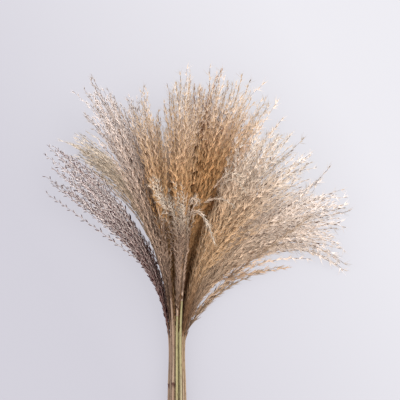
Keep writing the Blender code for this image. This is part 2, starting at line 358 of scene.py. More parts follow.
PLUME_COLOURS: dict[Tone, PlumeColours] = {
    Tone.TAUPE: PlumeColours(
        (0.05, 0.01, 0.012), (0.36, 0.20, 0.17), (0.09, 0.028, 0.023),
        (0.42, 0.24, 0.205), (0.84, 0.65, 0.58), (0.93, 0.82, 0.78), 0.38, 0.72, 0.9, 0.5),
    Tone.OLIVE: PlumeColours(
        (0.08, 0.038, 0.018), (0.52, 0.38, 0.22), (0.10, 0.055, 0.03),
        (0.38, 0.28, 0.22), (0.80, 0.59, 0.41), (0.86, 0.74, 0.61), 0.42, 0.95, 0.8, 0.34),
    Tone.ROSY: PlumeColours(
        (0.05, 0.016, 0.013), (0.50, 0.33, 0.22), (0.07, 0.028, 0.017),
        (0.24, 0.145, 0.095), (0.84, 0.60, 0.44), (0.90, 0.79, 0.73), 0.46, 0.92, 0.85, 0.38),
    # worn by plume 7 alone, and the darkest: partly its own russet, partly painted shade of the valley it
    # lies in
    Tone.BROWN: PlumeColours(
        (0.06, 0.018, 0.007), (0.44, 0.21, 0.09), (0.09, 0.028, 0.01),
        (0.24, 0.072, 0.028), (0.43, 0.175, 0.07), (0.77, 0.635, 0.52), 0.62, 1.0, 0.25, 0.25),
    Tone.GOLD: PlumeColours(
        (0.07, 0.028, 0.01), (0.60, 0.39, 0.20), (0.10, 0.042, 0.018),
        (0.20, 0.09, 0.04), (0.76, 0.425, 0.19), (0.78, 0.675, 0.59), 0.57, 1.0, 0.2, 0.32),
    Tone.BLOND: PlumeColours(
        (0.06, 0.025, 0.014), (0.70, 0.54, 0.39), (0.09, 0.042, 0.025),
        (0.22, 0.115, 0.06), (0.80, 0.52, 0.30), (0.82, 0.73, 0.655), 0.48, 0.95, 0.4, 0.26),
    Tone.CREAM: PlumeColours(
        (0.06, 0.022, 0.016), (0.62, 0.46, 0.34), (0.09, 0.04, 0.028),
        (0.29, 0.175, 0.11), (0.78, 0.565, 0.395), (0.81, 0.715, 0.65), 0.36, 0.92, 0.45, 0.38),
    Tone.SILVER: PlumeColours(
        (0.06, 0.027, 0.016), (0.50, 0.35, 0.25), (0.12, 0.065, 0.035),
        (0.17, 0.10, 0.066), (0.54, 0.37, 0.27), (0.84, 0.71, 0.57), 0.66, 0.92, 0.65, 0.2),
}


@dataclass(frozen=True)
class StemColours:
    """The colours of a stem: its skin, the streaks and blotches in it, and the sheath round it."""

    skin: Colour
    streak: Colour
    blotch: Colour
    sheath: Colour


STEM_COLOURS: dict[StemTone, StemColours] = {
    StemTone.STRAW: StemColours(
        (0.42, 0.29, 0.17), (0.09, 0.045, 0.026), (0.15, 0.07, 0.042), (0.46, 0.34, 0.22)),
    StemTone.GREEN: StemColours(
        (0.40, 0.35, 0.17), (0.09, 0.07, 0.028), (0.13, 0.075, 0.035), (0.44, 0.37, 0.22)),
    StemTone.BROWN: StemColours(
        (0.35, 0.23, 0.155), (0.05, 0.025, 0.015), (0.08, 0.03, 0.018), (0.40, 0.28, 0.19)),
}


def put_in_order(mesh: bpy.types.Mesh) -> None:
    """Sorts a mesh's triangles by their points, because extruding orders them anew in each run.

    Args:
        mesh: The mesh, all of triangles.
    """
    sorted_mesh = bmesh.new()
    sorted_mesh.from_mesh(mesh)
    count = len(sorted_mesh.verts)

    def order(face: bmesh.types.BMFace) -> int:
        """Gives a number that only this triangle has."""
        low, middle, high = sorted(vertex.index for vertex in face.verts)
        return (low * count + middle) * count + high

    sorted_mesh.faces.sort(key=order)
    sorted_mesh.to_mesh(mesh)
    sorted_mesh.free()


def deselect() -> None:
    """Leaves object mode with nothing selected."""
    if bpy.context.object and bpy.context.object.mode != "OBJECT":
        bpy.ops.object.mode_set(mode="OBJECT")
    bpy.ops.object.select_all(action="DESELECT")


@dataclass(frozen=True)
class Shape:
    """A small mesh that is laid out many times: its points, its triangles and their map.

    A map place has a run along the shape, in millimetres, and a place across it from 0 to 1.
    """

    points: np.ndarray
    triangles: np.ndarray
    run: np.ndarray
    across: np.ndarray


def shape_of(piece: bpy.types.Object) -> Shape:
    """Reads a modelled piece as a Shape, and removes the piece.

    Args:
        piece: A mesh object with its place in its mesh, along +Z from the origin.

    Returns:
        Its points, triangles and map.
    """
    mesh = piece.data
    mesh.calc_loop_triangles()
    points = np.array([vertex.co for vertex in mesh.vertices]) / MM
    triangles = np.array([triangle.vertices for triangle in mesh.loop_triangles])
    bpy.data.objects.remove(piece)
    around = np.arctan2(points[:, 1], points[:, 0]) / (2.0 * np.pi)
    return Shape(points, triangles, points[:, 2], 0.5 + around)


@dataclass(frozen=True)
class Spikelet:
    """Models a spikelet's two parts once: the seed, and the tufts of silk round its foot."""

    habit: Habit
    seed_sides: int = 3
    belly: float = 0.38  # where the seed is widest
    tufts: int = 6  # from a tight one, at a plume's foot, to a loose one at its tips
    tightest: float = 0.3  # how far the tightest tuft spreads, as a share of the loosest
    thicker: float = 1.3  # how much thicker hairs would be in a tuft that doesn't spread at all
    flatness: float = 0.8  # a seed's thickness, as a share of its width
    belly_band: float = 0.1  # around a seed's middle, of its length, that moves to the belly
    uneven: float = 0.3  # of the hairs' lengths
    lean_uneven: float = 0.5  # of how far each of them spreads
    turn_uneven: float = 0.8  # of a hair's place round the tuft, in places

    def seed(self) -> Shape:
        """Models a seed as a spindle that is fullest below its middle.

        Returns:
            The seed, from its foot at the origin along +Z.
        """
        deselect()
        length = self.habit.seed_length
        width = self.habit.seed_width
        middle = length / 2 * MM
        bpy.ops.mesh.primitive_uv_sphere_add(segments=self.seed_sides, ring_count=2, radius=0.5)
        piece = bpy.context.object
        piece.scale = (width * MM, self.flatness * width * MM, length * MM)
        bpy.ops.object.transform_apply(scale=True)
        bpy.ops.object.mode_set(mode="EDIT")
        bpy.ops.mesh.select_all(action="SELECT")
        bpy.ops.transform.translate(value=(0.0, 0.0, middle))
        bpy.ops.mesh.select_all(action="DESELECT")
        bpy.ops.object.mode_set(mode="OBJECT")
        for vertex in piece.data.vertices:
            vertex.select = abs(vertex.co.z - middle) < self.belly_band * length * MM
        bpy.ops.object.mode_set(mode="EDIT")
        bpy.ops.transform.translate(value=(0.0, 0.0, (self.belly - 0.5) * length * MM))
        bpy.ops.object.mode_set(mode="OBJECT")
        return shape_of(piece)

    def tuft(self, number: int) -> Shape:
        """Models one tuft of silk: a few fine hairs that spread from one foot.

        Args:
            number: Which of the tufts this is, each looser than the one before it.

        Returns:
            The tuft, from the origin and mostly along +Z.
        """
        deselect()
        uneven = np.random.default_rng(number)
        hairs = []
        loose = self.tightest + (1.0 - self.tightest) * number / (self.tufts - 1)
        width = self.habit.silk_width * (1.0 + self.thicker * (1.0 - loose))
        for i in range(self.habit.hairs):
            length = self.habit.silk_length * (1.0 + uneven.uniform(-self.uneven, self.uneven))
            lean = 1.0 + uneven.uniform(-self.lean_uneven, self.lean_uneven)
            spread = math.radians(self.habit.silk_spread * loose * lean)
            turn = 2.0 * math.pi * (i + uneven.uniform(0.0, self.turn_uneven)) / self.habit.hairs
            outward = math.sin(spread)
            way = Vector((outward * math.cos(turn), outward * math.sin(turn), math.cos(spread)))
            bpy.ops.mesh.primitive_cone_add(
                vertices=3, radius1=width / 2 * MM, radius2=0.0, depth=length * MM, end_fill_type="NOTHING",
                location=way * (length / 2 * MM), rotation=way.to_track_quat("Z", "Y").to_euler(),
            )
            hairs.append(bpy.context.object)
        for hair in hairs:
            hair.select_set(True)
        bpy.ops.object.transform_apply(location=True, rotation=True)
        bpy.ops.object.join()
        return shape_of(bpy.context.object)


class PlumeMesh:
    """Gathers the shapes of a plume into one mesh with one map.

    The map's first axis runs up the plume. Its second one has a band for each part, and a place in
    the band is a copy's shade, a little of the place across the copy, and a margin.
    """

    run_limits: tuple[float, float] = (0.001, 0.999)
    shade_share: float = 0.86
    across_share: float = 0.1
    margin: float = 0.02

    def __init__(self) -> None:
        """Starts with nothing gathered."""
        self.points: list[np.ndarray] = []
        self.triangles: list[np.ndarray] = []
        self.places: list[np.ndarray] = []
        self.count = 0

    def add(self, points: np.ndarray, triangles: np.ndarray, places: np.ndarray) -> None:
        """Adds some forms.

        Args:
            points: Their points, in millimetres.
            triangles: Three point numbers for each face, counted within these points.
            places: Each point's place on the map.
        """
        self.points.append(points)
        self.triangles.append(triangles + self.count)
        self.places.append(places)
        self.count += len(points)

    def lay(self, shape: Shape, part: Part, feet: np.ndarray, frames: np.ndarray, sizes: np.ndarray,
            shares: np.ndarray, tones: np.ndarray, length: float) -> None:
        """Lays a shape out many times.

        Args:
            shape: What is laid out.
            part: What it is, which sets its band on the map.
            feet: Where each copy's foot is.
            frames: Each copy's X, Y and Z directions, as rows.
            sizes: How large each copy is.
            shares: How far up the plume each copy stands, from 0 to 1.
            tones: Each copy's shade, from 0 to 1.
            length: The plume's length, which the map's run is a share of.
        """
        if not len(feet):
            return
        placed = np.einsum("pk,nkx->npx", shape.points, frames) * sizes[:, None, None] + feet[:, None, :]
        low, high = part.value
        run = shares[:, None] + shape.run[None, :] * sizes[:, None] / length
        shade = tones[:, None] * self.shade_share + shape.across[None, :] * self.across_share + self.margin
        places = np.stack([run.clip(*self.run_limits), low + (high - low) * shade], 2)
        steps = np.arange(len(feet))[:, None, None] * len(shape.points)
        self.add(placed.reshape(-1, 3), (shape.triangles[None] + steps).reshape(-1, 3), places.reshape(-1, 2))

    def tubes(self, lines: np.ndarray, radii: np.ndarray, shares: np.ndarray, tones: np.ndarray,
              sides: int) -> None:
        """Adds a closed tube along each line.

        Args:
            lines: The lines' points, lines by points by 3.
            radii: The radius at each of those points.
            shares: How far up the plume each point is, from 0 to 1.
            tones: Each line's shade, from 0 to 1.
            sides: How many sides a tube has.
        """
        count, rings = lines.shape[:2]
        ahead = directions(lines)
        side = np.cross(ahead, (0.0, 0.0, 1.0))
        side /= np.linalg.norm(side, axis=2, keepdims=True)
        up = np.cross(side, ahead)
        turn = 2.0 * np.pi * np.arange(sides) / sides
        ring = np.cos(turn)[:, None] * side[:, :, None, :] + np.sin(turn)[:, None] * up[:, :, None, :]
        points = lines[:, :, None, :] + ring * radii[:, :, None, None]
        first = np.arange(rings - 1)[:, None] * sides
        here = np.arange(sides)[None, :]
        after = (here + 1) % sides
        corners = [first + here, first + after, first + sides + after, first + sides + here]
        a, b, c, d = (corner.reshape(-1) for corner in corners)
        walls = np.concatenate([np.stack([a, c, b], 1), np.stack([a, d, c], 1)])
        fan = np.arange(1, sides - 1)
        low = np.stack([np.zeros_like(fan), fan, fan + 1], 1)
        last = (rings - 1) * sides
        high = np.stack([np.full_like(fan, last), last + fan + 1, last + fan], 1)
        faces = np.concatenate([walls, low, high])
        steps = np.arange(count)[:, None, None] * rings * sides
        low_band, high_band = Part.BRANCH.value
        run = np.repeat(shares[:, :, None], sides, axis=2).clip(*self.run_limits)
        across = here / sides * self.across_share + self.margin
        shade = tones[:, None, None] * self.shade_share + across[None]
        places = np.stack([run, low_band + (high_band - low_band) * np.broadcast_to(shade, run.shape)], 3)
        self.add(points.reshape(-1, 3), (faces[None] + steps).reshape(-1, 3), places.reshape(-1, 2))

    def piece(self, name: str) -> bpy.types.Object:
        """Makes the mesh and its object.

        Args:
            name: The object's name.

        Returns:
            The new object, linked to the scene, with its place in its mesh.
        """
        points = np.concatenate(self.points) * MM
        points[:, 2] = np.maximum(points[:, 2], CLEARANCE * MM)
        triangles = np.concatenate(self.triangles)
        places = np.concatenate(self.places)
        mesh = bpy.data.meshes.new(name)
        mesh.vertices.add(len(points))
        mesh.vertices.foreach_set("co", points.astype(np.float32).ravel())
        mesh.loops.add(triangles.size)
        mesh.loops.foreach_set("vertex_index", triangles.astype(np.int32).ravel())
        mesh.polygons.add(len(triangles))
        mesh.polygons.foreach_set("loop_start", np.arange(0, triangles.size, 3, dtype=np.int32))
        layer = mesh.uv_layers.new(name=COLOUR_MAP)
        layer.uv.foreach_set("vector", places[triangles.ravel()].astype(np.float32).ravel())
        mesh.update(calc_edges=True)
        mesh.validate()
        obj = bpy.data.objects.new(name, mesh)
        bpy.context.scene.collection.objects.link(obj)
        return obj


def directions(lines: np.ndarray) -> np.ndarray:
    """Gives the unit direction at each point of each line.

    Args:
        lines: The lines' points, lines by points by 3.

    Returns:
        The directions, in the same layout.
    """
    ahead = np.gradient(lines, axis=1)
    return ahead / np.linalg.norm(ahead, axis=2, keepdims=True)


def read_lines(lines: np.ndarray, reaches: np.ndarray, at: np.ndarray) -> np.ndarray:
    """Reads evenly stepped lines at some distances along them.

    Args:
        lines: The lines' points, lines by points by 3.
        reaches: Each line's length.
        at: For each line, the distances to read at.

    Returns:
        The points there, lines by distances by 3.
    """
    steps = lines.shape[1] - 1
    place = np.clip(at / reaches[:, None] * steps, 0.0, steps - 1e-6)
    low = place.astype(int)
    rest = (place - low)[:, :, None]
    row = np.arange(len(lines))[:, None]
    return lines[row, low] * (1.0 - rest) + lines[row, low + 1] * rest


@dataclass
class Plume:
    """One plume: its axis, its racemes and their spikelets, joined into one piece."""

    number: int
    reed: Reed
    habit: Habit
    spikelet: Spikelet
    luck: int = 100  # what is added to the number to seed the plume's unevenness
    raceme_rings: int = 11
    raceme_sides: int = 3
    axis_rings: int = 16
    axis_sides: int = 6
    axis_radius: float = 1.15
    axis_tip_radius: float = 0.35
    axis_shade: float = 0.5  # from 0 to 1, as a raceme's
    axis_past: float = 0.25  # how far the axis runs past the last raceme's start, as a share of the plume
    branch_tip: float = 0.55  # a raceme's radius at its tip, as a share of its radius at its foot
    lowest: float = 0.9  # of a raceme's line above the surface
    silk_lean: tuple[float, float] = (0.2, 1.1)  # of the silk's tilt, at the waist and added at the tips
    seed_lean: tuple[float, float] = (0.4, 0.8)  # the same, of the seeds' tilt
    reach_bias: float = 0.6  # below 1, more racemes are long than short
    middle_reach: float = 1.03  # of a raceme in the plume's middle, as a share of what it would reach
    side_loss: float = 0.1  # how much less the ones at the sides reach
    start_bias: float = 1.3  # above 1, more racemes leave low than high
    paces: tuple[float, float] = (0.6, 1.6)  # how many waves a raceme has
    first_gap: tuple[float, float] = (0.5, 2.0)  # from a raceme's foot to its first spikelet, in gaps
    gap_uneven: float = 0.3
    taper: float = 0.35  # how much smaller a raceme's last spikelet is
    leans: tuple[float, float] = (0.5, 1.4)  # of one spikelet, as a share of its tilt
    sizes: tuple[float, float] = (0.8, 1.15)  # of one spikelet
    shade_uneven: float = 0.12
    own_shade: float = 0.6  # how much of a seed's shade isn't its raceme's
    tuft_uneven: float = 0.12  # of how loose a tuft is for its place on the plume

    def raceme_lines(self, uneven: np.random.Generator) -> tuple[np.ndarray, np.ndarray, np.ndarray]:
        """Lays out the plume's racemes.

        Args:
            uneven: Where the racemes' unevenness comes from.

        Returns:
            Their lines, how far along the plume each line's points are in millimetres, and what
            share of the plume's length they are coloured as.
        """
        reed, habit = self.reed, self.habit
        count = habit.racemes
        order = (np.arange(count) + uneven.uniform(0.0, 1.0, count)) / count
        order = uneven.permutation(order)
        across = (2.0 * order - 1.0) * habit.spread
        lock = (order * habit.locks).astype(int)
        up = uneven.uniform(-1.0, 1.0, count)
        heading, longest = reed.heading, reed.length * habit.reach
        headings = heading + across * reed.spread
        lifts = reed.lift + up * FAN.lock_lift * habit.rise
        share = habit.shortest + (1.0 - habit.shortest) * uneven.uniform(0.0, 1.0, count) ** self.reach_bias
        share = share * (1.0 - habit.lock_reach * uneven.permutation(habit.locks)[lock] / habit.locks)
        reaches = longest * share * (self.middle_reach - self.side_loss * np.abs(across) ** 2)
        low = reed.foot * habit.lowest_start
        starts = low + (reaches * habit.starts - low) * uneven.uniform(0.0, 1.0, count) ** self.start_bias
        starts = starts + habit.late * np.maximum(-across, 0.0)
        at = starts[:, None] + (reaches - starts)[:, None] * np.linspace(0.0, 1.0, self.raceme_rings)
        own = read_lines(FAN.lines(reed, headings, lifts, reaches), reaches, at)
        middle = FAN.lines(reed, np.array([heading]), np.array([reed.lift]), np.array([longest]))
        axis = read_lines(np.repeat(middle, count, axis=0), np.full(count, longest), at)
        along = np.linspace(0.0, 1.0, self.raceme_rings)[None, :]
        left = (along ** uneven.uniform(*habit.leave, (count, 1)))[:, :, None]
        lines = axis * (1.0 - left) + own * left
        side = np.cross(directions(lines), (0.0, 0.0, 1.0))
        phase = uneven.uniform(0.0, 1.0, (count, 1))
        pace = uneven.uniform(*self.paces, (count, 1))
        sway = habit.wave * along * np.sin(2.0 * np.pi * (pace * along + phase))
        bend = habit.hang - habit.close * np.maximum(across, 0.0)[:, None]
        sway = sway + bend * along**4 + uneven.normal(0.0, habit.curl, (count, 1)) * along**3
        lines = lines + side * sway[:, :, None]
        lines[:, :, 2] += uneven.normal(0.0, habit.curl / 2, (count, 1)) * along**2 - habit.droop * along**3
        shares = (at / reed.length) ** habit.dark_and_shaded_foot
        if habit.strays:
            strays = self.stray_lines()
            lines = np.concatenate([lines, strays])
            at = np.concatenate([at, self.far_along(strays)])
            shares = np.concatenate([shares, [
                np.linspace(*stray.shares, self.raceme_rings) for stray in habit.strays]])
        lines[:, :, 2] = np.maximum(lines[:, :, 2], self.lowest)
        return lines, at, shares

    def stray_lines(self) -> np.ndarray:
        """Lays out the racemes that stand apart.

        Returns:
            Their lines, each a smooth curve through its three places.
        """
        along = np.linspace(0.0, 1.0, self.raceme_rings)[None, :, None]
        foot, middle, tip = (
            np.array([getattr(stray, place) for stray in self.habit.strays])[:, None, :]
            for place in ("foot", "middle", "tip")
        )
        lines = foot * (1 - along) * (1 - 2 * along) + middle * 4 * along * (1 - along)
        lines = lines + tip * along * (2 * along - 1)
        return lines + np.array([FAN.waist[0], FAN.waist[1], 0.0])

    def far_along(self, lines: np.ndarray) -> np.ndarray:
        """Tells how far along its line each point is.

        Args:
            lines: The lines' points.

        Returns:
            The distances, lines by points.
        """
        steps = np.linalg.norm(np.diff(lines, axis=1), axis=2)
        return np.concatenate([np.zeros((len(lines), 1)), np.cumsum(steps, axis=1)], axis=1)

    def spikelets(self, lines: np.ndarray, at: np.ndarray, shares: np.ndarray, uneven: np.random.Generator,
                  mesh: PlumeMesh, tones: np.ndarray) -> None:
        """Sets a spikelet at every joint of every raceme, to the left and the right in turn.

        Args:
            lines: The racemes' lines.
            at: How far along the plume the lines' points are.
            shares: What share of the plume's length they are coloured as.
            uneven: Where the spikelets' unevenness comes from.
            mesh: What the spikelets are added to.
            tones: Each raceme's shade.
        """
        habit, length = self.habit, self.reed.length
        feet, ahead, far, shade, taper = [], [], [], [], []
        for line, distance, run, tone in zip(lines, at, shares, tones):
            own = distance - distance[0]
            joints = np.arange(habit.node_gap * uneven.uniform(*self.first_gap), own[-1], habit.node_gap)
            joints = joints + uneven.uniform(-self.gap_uneven, self.gap_uneven, len(joints)) * habit.node_gap
            way = directions(line[None])[0]
            feet.append(np.stack([np.interp(joints, own, line[:, k]) for k in range(3)], 1))
            ahead.append(np.stack([np.interp(joints, own, way[:, k]) for k in range(3)], 1))
            far.append(np.interp(joints, own, run))
            shade.append(np.full(len(joints), tone))
            taper.append(1.0 - self.taper * (joints / own[-1]) ** 2)
        foot, way, share = np.concatenate(feet), np.concatenate(ahead), np.concatenate(far)
        tone, size, count = np.concatenate(shade), np.concatenate(taper), len(foot)
        way /= np.linalg.norm(way, axis=1, keepdims=True)
        side = np.cross(way, (0.0, 0.0, 1.0))
        side /= np.linalg.norm(side, axis=1, keepdims=True)
        up = np.cross(side, way)
        roll = np.where(np.arange(count) % 2, 0.0, np.pi) + uneven.normal(0.0, habit.roll, count)
        out = np.cos(roll)[:, None] * side + np.sin(roll)[:, None] * up

        def frames(tilt: Any) -> np.ndarray:
            """Gives each spikelet's directions, leant outwards by about a tilt."""
            lean = np.radians(tilt * uneven.uniform(*self.leans, count))[:, None]
            z = way * np.cos(lean) + out * np.sin(lean)
            x = out * np.cos(lean) - way * np.sin(lean)
            return np.stack([x, np.cross(z, x), z], 1)

        silk_frames = frames(habit.silk_tilt * (self.silk_lean[0] + self.silk_lean[1] * share))
        size = size * uneven.uniform(*self.sizes, count)
        tone = np.clip(tone + uneven.normal(0.0, self.shade_uneven, count), 0.0, 1.0)
        own_tone = (1.0 - self.own_shade) * tone + self.own_shade * uneven.uniform(0.0, 1.0, count)
        seed_frames = frames(habit.seed_tilt * (self.seed_lean[0] + self.seed_lean[1] * share))
        mesh.lay(self.spikelet.seed(), Part.SEED, foot, seed_frames, size, share, own_tone, length)
        tufts = self.spikelet.tufts
        kinds = (share + uneven.normal(0.0, self.tuft_uneven, count)) * tufts
        kinds = np.clip(kinds, 0, tufts - 1).astype(int)
        for kind in range(tufts):
            at_kind = kinds == kind
            mesh.lay(self.spikelet.tuft(kind), Part.SILK, foot[at_kind], silk_frames[at_kind], size[at_kind],
                     share[at_kind], tone[at_kind], length)

    def build(self, finish: bpy.types.Material) -> bpy.types.Object:
        """Builds the plume and dresses it.

        Args:
            finish: The material it wears.

        Returns:
            The plume, which stands for its solid.
        """
        uneven = np.random.default_rng(self.luck + self.number)
        mesh = PlumeMesh()
        reed = self.reed
        reach = reed.foot + (reed.length - reed.foot) * (self.habit.starts + self.axis_past)
        middle = FAN.lines(reed, np.array([reed.heading]), np.array([reed.lift]), np.array([reed.length]))
        at = np.linspace(reed.foot, reach, self.axis_rings)[None, :]
        axis = read_lines(middle, np.array([reed.length]), at)
        radii = np.linspace(self.axis_radius, self.axis_tip_radius, self.axis_rings)[None, :]
        mesh.tubes(axis, radii, at / reed.length, np.array([self.axis_shade]), self.axis_sides)
        lines, far, shares = self.raceme_lines(uneven)
        tones = uneven.uniform(0.0, 1.0, len(lines))
        thin = uneven.uniform(*self.habit.branch_radius, (len(lines), 1))
        thin = thin * np.linspace(1.0, self.branch_tip, self.raceme_rings)
        mesh.tubes(lines, thin, shares, tones, self.raceme_sides)
        self.spikelets(lines, far, shares, uneven, mesh, tones)
        piece = mesh.piece(f"reed_plume_{self.number:02d}")
        piece.data.materials.append(finish)
        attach(piece, BODY)
        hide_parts(f"plume_{self.number:02d}")
        LOG.info("%s: %d racemes, %d triangles", piece.name, len(lines), len(piece.data.polygons))
        return piece


@dataclass(frozen=True)
class StemForm:
    """The laws that the solid stems follow, and a straight stem that is modelled once.

    The straight stem runs along +Z. A metre of it is one ring, and its radius is a metre.
    """

    radius: float = 1.5
    tip_radius: float = 1.15  # where the stem meets its plume
    butt: float = 150.0  # below the waist
    splay: float = 0.45  # how much wider the stems stand at their cut ends than at the waist
    rise: float = 0.12  # and how much higher
    unevenness: tuple[float, float] = (-9.0, 5.0)  # how much shorter or longer a stem is cut
    lean: float = 0.7  # how far a cut end strays sideways
    joint_gap: float = 0.3  # between the stem and its plume
    butt_steps: int = 4
    top_steps: int = 3
    knot_places: int = 3  # that the joint takes in turn, from one stem to the next
    sides: int = 12
    rings: int = 56
    smooth_angle: float = 50.0
    knot_rings: tuple[float, ...] = (-2.6, -1.5, -0.8, -0.3, 0.3, 0.8, 1.6, 2.8)  # from the joint
    knot_swell: float = 0.2  # how much thicker the joint is, as a share of the radius
    knot_reach: float = 1.1  # how far its swelling goes along the stem
    sheath: float = 64.0  # of the papery sheath above the joint
    sheath_step: float = 0.06  # by how much it widens the stem, as a share of the radius
    sheath_edges: tuple[float, float] = (0.98, 1.02)  # of its length, where a ring stands on either side
    spare_rings: tuple[float, float] = (1.0, 2.0)  # where those two stand when the plume hides its end
    pith: float = 0.3  # from the rim of the cut end to its pith
    pith_depth: float = 0.25
    rim_place: float = 0.02  # of the cut end's rim on the map
    knot_place: float = 0.3  # of the joint
    tip_place: float = 0.99  # of the stem's upper end
    rim_from: float = 0.95  # of the radius, inside which a point is on the cut end

    def model(self) -> bpy.types.Object:
        """Models the straight stem.

        Returns:
            The stem, with the pith set back in its cut end.
        """
        deselect()
        bpy.ops.mesh.primitive_circle_add(vertices=self.sides, radius=1.0, fill_type="NGON")
        piece = bpy.context.object
        bpy.ops.object.mode_set(mode="EDIT")
        bpy.ops.mesh.select_all(action="SELECT")
        for _ in range(self.rings):
            bpy.ops.mesh.extrude_region_move(TRANSFORM_OT_translate={"value": (0.0, 0.0, 1.0)})
        bpy.ops.mesh.select_all(action="DESELECT")
        bpy.ops.object.mode_set(mode="OBJECT")
        for face in piece.data.polygons:
            face.select = len(face.vertices) == self.sides and face.center.z < 0.5
        bpy.ops.object.mode_set(mode="EDIT")
        bpy.ops.mesh.inset(thickness=self.pith)
        bpy.ops.mesh.extrude_region_move(TRANSFORM_OT_translate={"value": (0.0, 0.0, self.pith_depth)})
        bpy.ops.mesh.select_all(action="SELECT")
        bpy.ops.mesh.normals_make_consistent(inside=False)
        bpy.ops.mesh.quads_convert_to_tris()
        bpy.ops.object.mode_set(mode="OBJECT")
        put_in_order(piece.data)
        return piece


@dataclass
class Stem:
    """One stem: round and finely ribbed, with a swollen joint, a papery sheath and a cut end."""

    number: int
    reed: Reed
    form: StemForm
    fine: int = 400  # steps in its middle line

    def line(self) -> tuple[np.ndarray, float]:
        """Lays out the stem's middle line.

        Returns:
            Its points from the cut end to the plume, and how far from the cut end its joint is.
        """
        form, reed = self.form, self.reed
        across, up = FAN.slot_of(reed)
        uneven = random.Random(self.number)
        length = form.butt + uneven.uniform(*form.unevenness)
        lean = uneven.uniform(-form.lean, form.lean)
        share = np.linspace(1.0, 0.0, form.butt_steps + 1)
        back = share * length
        x = FAN.waist[0] + across * (1.0 + form.splay * share) + lean * share**2
        z = FAN.waist[2] - math.tan(math.radians(FAN.stem_tilt)) * back + up * (1.0 + form.rise * share)
        butt = np.stack([x, FAN.waist[1] - back, np.maximum(z, form.radius)], 1)
        reach = np.array([FAN.reach])
        above = FAN.lines(reed, np.array([reed.heading]), np.array([reed.lift]), reach)
        at = np.linspace(0.0, reed.foot - form.joint_gap, form.top_steps + 1)[None, :]
        points = np.concatenate([butt[:-1], read_lines(above, reach, at)[0]])
        far = np.concatenate([[0.0], np.cumsum(np.linalg.norm(np.diff(points, axis=0), axis=1))])
        return smooth_line(points, far, self.fine), float(far[1 + self.number % form.knot_places])

    def build(self, straight: bpy.types.Object, finish: bpy.types.Material) -> bpy.types.Object:
        """Bends a copy of the straight stem along the stem's line, and dresses it.

        Args:
            straight: The straight stem.
            finish: The material it wears.

        Returns:
            The stem, which stands for its solid.
        """
        form = self.form
        line, knot = self.line()
        far = np.concatenate([[0.0], np.cumsum(np.linalg.norm(np.diff(line, axis=0), axis=1))])
        total = far[-1]
        plain = np.linspace(0.0, total, form.rings + 1 - len(form.knot_rings) - len(form.sheath_edges))
        edges = np.array(form.spare_rings)
        if knot + form.sheath < total:
            edges = knot + form.sheath * np.array(form.sheath_edges)
        at = np.sort(np.concatenate([plain, knot + np.array(form.knot_rings), edges]))
        mesh = straight.data.copy()
        mesh.name = f"reed_stem_{self.number:02d}"
        flat = np.array([vertex.co for vertex in mesh.vertices])
        run = np.interp(flat[:, 2], np.arange(len(at)), at)
        middle = np.stack([np.interp(run, far, line[:, k]) for k in range(3)], 1)
        way = np.stack([np.interp(run, far, directions(line[None])[0][:, k]) for k in range(3)], 1)
        side = np.cross(way, (0.0, 0.0, 1.0))
        side /= np.linalg.norm(side, axis=1, keepdims=True)
        up = np.cross(side, way)
        width = self.radius_at(run, knot, total)[:, None]
        points = middle + width * (flat[:, :1] * side + flat[:, 1:2] * up)
        points[:, 2] = np.maximum(points[:, 2], CLEARANCE)
        mesh.vertices.foreach_set("co", (points * MM).astype(np.float32).ravel())
        self.unwrap(mesh, flat, run, knot, total)
        mesh.update()
        piece = bpy.data.objects.new(mesh.name, mesh)
        bpy.context.scene.collection.objects.link(piece)
        deselect()
        piece.select_set(True)
        bpy.context.view_layer.objects.active = piece
        bpy.ops.object.shade_smooth_by_angle(angle=math.radians(form.smooth_angle))
        mesh.materials.append(finish)
        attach(piece, BODY)
        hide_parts(f"stem_{self.number:02d}")
        LOG.info("%s: %.0f mm long", piece.name, total)
        return piece

    def radius_at(self, run: np.ndarray, knot: float, total: float) -> np.ndarray:
        """Gives the stem's radius at some distances from its cut end.

        Args:
            run: The distances.
            knot: How far the joint is.
            total: The stem's length.

        Returns:
            The radii there.
        """
        form = self.form
        radius = form.radius + (form.tip_radius - form.radius) * run / total
        swell = form.knot_swell * np.exp(-((run - knot) / form.knot_reach) ** 2)
        inside = (run > knot) & (run < knot + form.sheath)
        return radius * (1.0 - form.sheath_step + swell + form.sheath_step * inside)

    def unwrap(self, mesh: bpy.types.Mesh, flat: np.ndarray, run: np.ndarray, knot: float,
               total: float) -> None:
        """Lays the map on the stem, from its cut end up, with the joint at one height of the map.

        Args:
            mesh: The stem's mesh.
            flat: Its points as they were when the stem was straight.
            run: How far each point is from the cut end.
            knot: How far the joint is.
            total: The stem's length.
        """
        form = self.form
        corner = np.empty(len(mesh.loops), dtype=np.int32)
        mesh.loops.foreach_get("vertex_index", corner)
        around = np.arctan2(flat[corner, 1], flat[corner, 0]) / (2.0 * np.pi) % 1.0
        faces = around.reshape(-1, 3)
        wraps = (faces.max(1) - faces.min(1) > 0.5)[:, None] & (faces < 0.5)
        around = (faces + wraps).ravel() * form.sides / (form.sides + 1)
        height = np.interp(run, [0.0, knot, total], [form.rim_place, form.knot_place, form.tip_place])
        rim = np.hypot(flat[:, 0], flat[:, 1])
        height = np.where(rim < form.rim_from, form.rim_place * rim, height)[corner]
        layer = mesh.uv_layers.new(name=COLOUR_MAP)
        layer.uv.foreach_set("vector", np.stack([around, height], 1).astype(np.float32).ravel())


